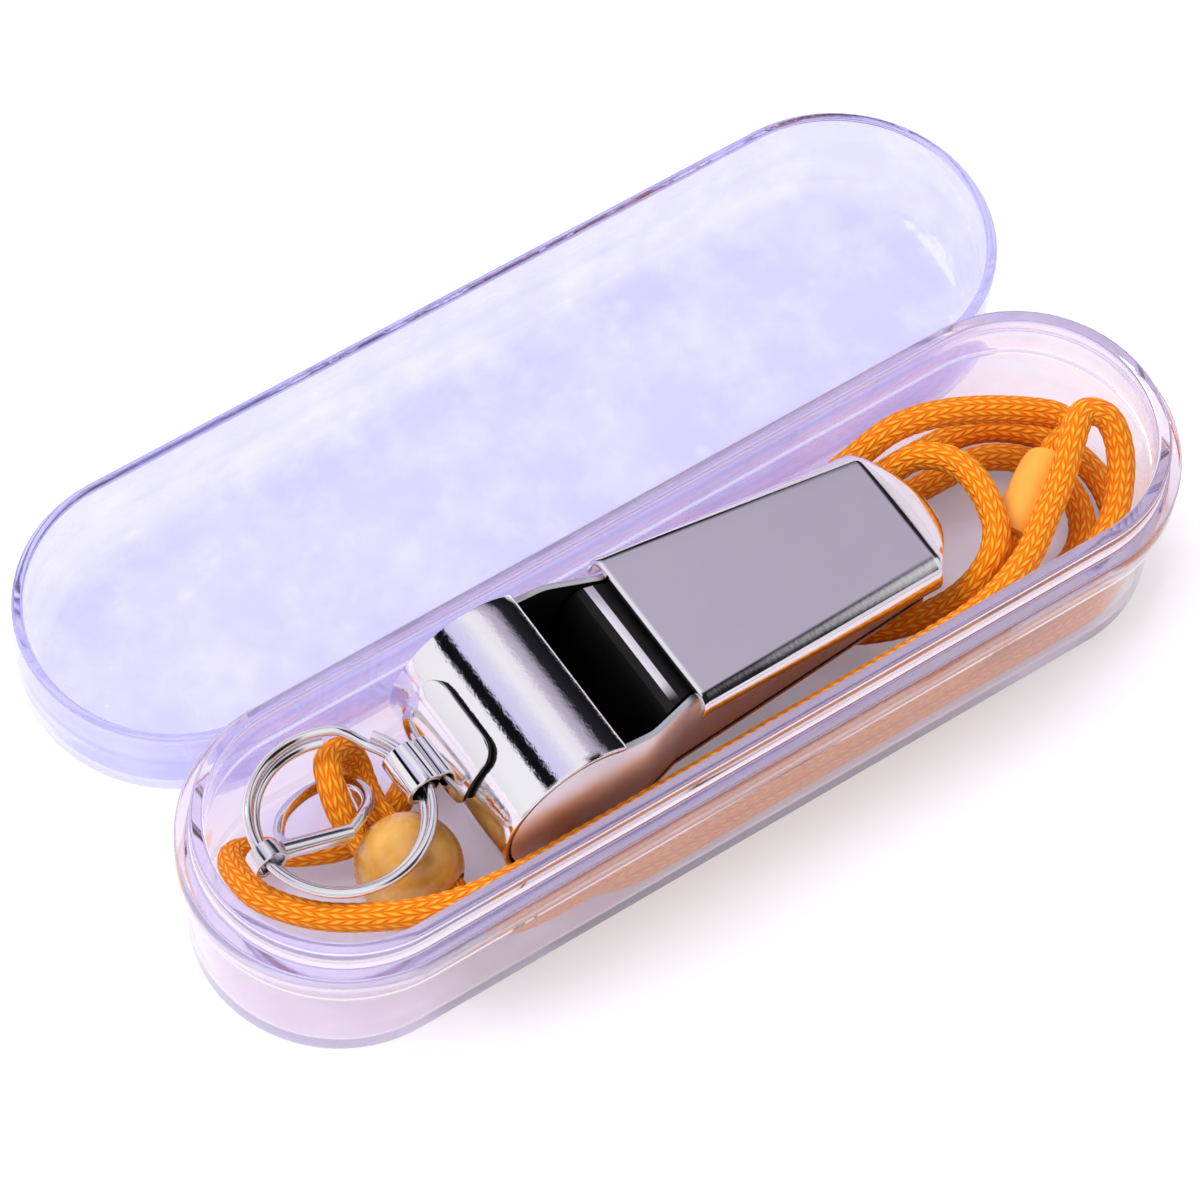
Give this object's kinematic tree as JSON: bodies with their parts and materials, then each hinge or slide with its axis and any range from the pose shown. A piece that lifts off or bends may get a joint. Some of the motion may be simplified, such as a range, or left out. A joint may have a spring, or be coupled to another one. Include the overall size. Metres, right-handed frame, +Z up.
{
  "type": "pea whistle in case",
  "caption": "Plated metal pea whistle with split ring, wire cord link, bead and orange neck lanyard, packed in a clear plastic case with its lid set beside it.",
  "frame": {"origin": "centre of the case base's underside", "axes": "+X along the case towards the whistle's mouthpiece, +Y towards the lid that lies beside the base, +Z up"},
  "size_m": [0.1167, 0.0657, 0.0236],
  "materials": {
    "clear_plastic": "clear moulded plastic with a faint lavender tint",
    "plated_metal": "bright plated sheet and wire",
    "cork": "natural cork, darkened with use",
    "bead_plastic": "glossy amber",
    "sleeve_plastic": "smooth moulded sleeve",
    "orange_cord": "round braided cord"
  },
  "bodies": {
    "case": {"case_base": "clear_plastic"},
    "lid": {"case_lid": "clear_plastic"},
    "whistle": {"mouthpiece_top": "plated_metal", "side_plate_near": "plated_metal", "side_plate_far": "plated_metal", "barrel_strip": "plated_metal", "windway_ramp": "plated_metal", "ring_lug": "plated_metal", "cord_link": "plated_metal", "bead": "bead_plastic", "cord_joiner": "sleeve_plastic", "lanyard_noose": "orange_cord", "lanyard_outer_loop": "orange_cord", "lanyard_inner_loop": "orange_cord", "lanyard_hank": "orange_cord"},
    "pea": {"pea": "cork"},
    "ring": {"split_ring": "plated_metal"}
  },
  "joints": [
    {"name": "lid_lift", "type": "slide", "parent": "case", "child": "lid", "axis": [0, 0, 1], "range_m": [0, 0.04]},
    {"name": "whistle_lift", "type": "slide", "parent": "case", "child": "whistle", "axis": [0, 0, 1], "range_m": [0, 0.05]},
    {"name": "pea_roll", "type": "hinge", "parent": "whistle", "child": "pea", "pos_m": [-0.01887, 0.00126, 0.01435], "axis": [0, 1, 0], "continuous": true},
    {"name": "ring_turn", "type": "hinge", "parent": "whistle", "child": "ring", "pos_m": [-0.03909, 0.0035, 0.01406], "axis": [0, 0, 1], "continuous": true}
  ]
}
